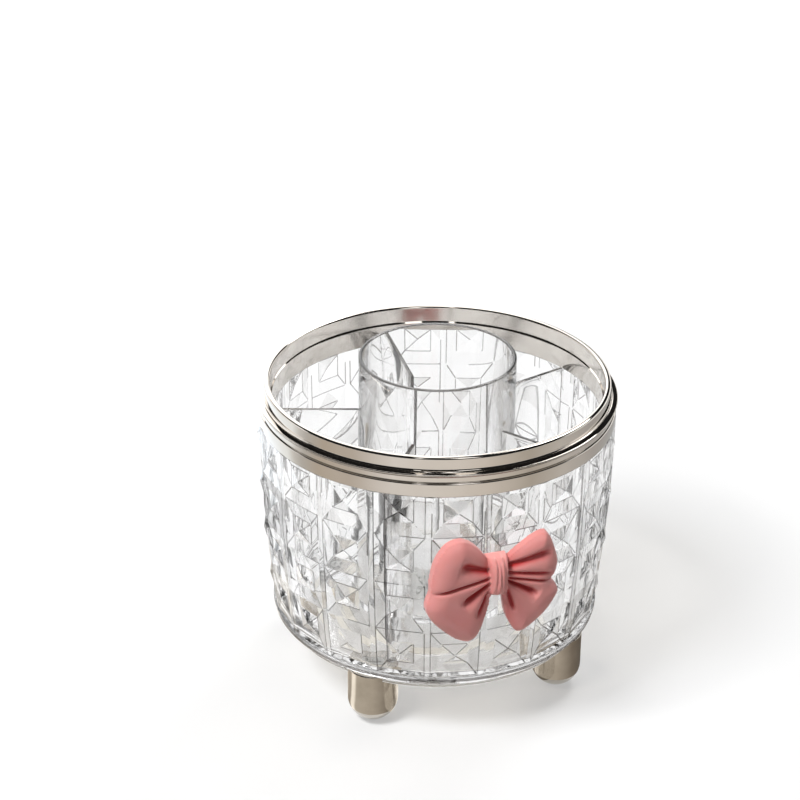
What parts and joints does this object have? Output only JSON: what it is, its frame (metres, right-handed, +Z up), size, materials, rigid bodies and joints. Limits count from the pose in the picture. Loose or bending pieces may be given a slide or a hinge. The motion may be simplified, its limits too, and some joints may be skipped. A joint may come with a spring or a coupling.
{
  "type": "makeup brush holder",
  "caption": "Round clear makeup brush holder with a diamond-cut drum, plated rim and domed feet, a resin bow, a turning base and a lift-out divider insert.",
  "frame": {"origin": "on the tabletop, on the axis that the drum turns about, level with the bottoms of the feet", "axes": "+Z up along the drum's axis and out of the centre cup, -Y towards the front, +X to the right"},
  "size_m": [0.12, 0.1281, 0.1143],
  "materials": {
    "clear_plastic": "water-clear moulded plastic, polished, with flat diamond-cut facets",
    "plated": "plated, mirror bright, warm silver",
    "steel": "bright zinc-plated screws and washer",
    "pink_resin": "satin cast resin, dusty pink, darker in its folds",
    "white_plastic": "natural low-friction plastic"
  },
  "bodies": {
    "base": {"base_plate": "clear_plastic", "glide_ring": "white_plastic", "pivot_washer": "steel", "pivot_screw": "steel", "foot_screws": "steel", "foot_1": "plated", "foot_2": "plated", "foot_3": "plated", "foot_4": "plated"},
    "drum": {"drum_bucket": "clear_plastic", "rim_ring": "plated", "bow": "pink_resin"},
    "insert": {"center_cup": "clear_plastic", "divider_1": "clear_plastic", "divider_2": "clear_plastic", "divider_3": "clear_plastic", "divider_4": "clear_plastic", "divider_5": "clear_plastic"}
  },
  "joints": [
    {"name": "drum_turn", "type": "hinge", "parent": "base", "child": "drum", "pos_m": [0, 0, 0.0205], "axis": [0, 0, 1], "continuous": true},
    {"name": "insert_lift", "type": "slide", "parent": "drum", "child": "insert", "axis": [0, 0, 1], "range_m": [0, 0.09]}
  ]
}
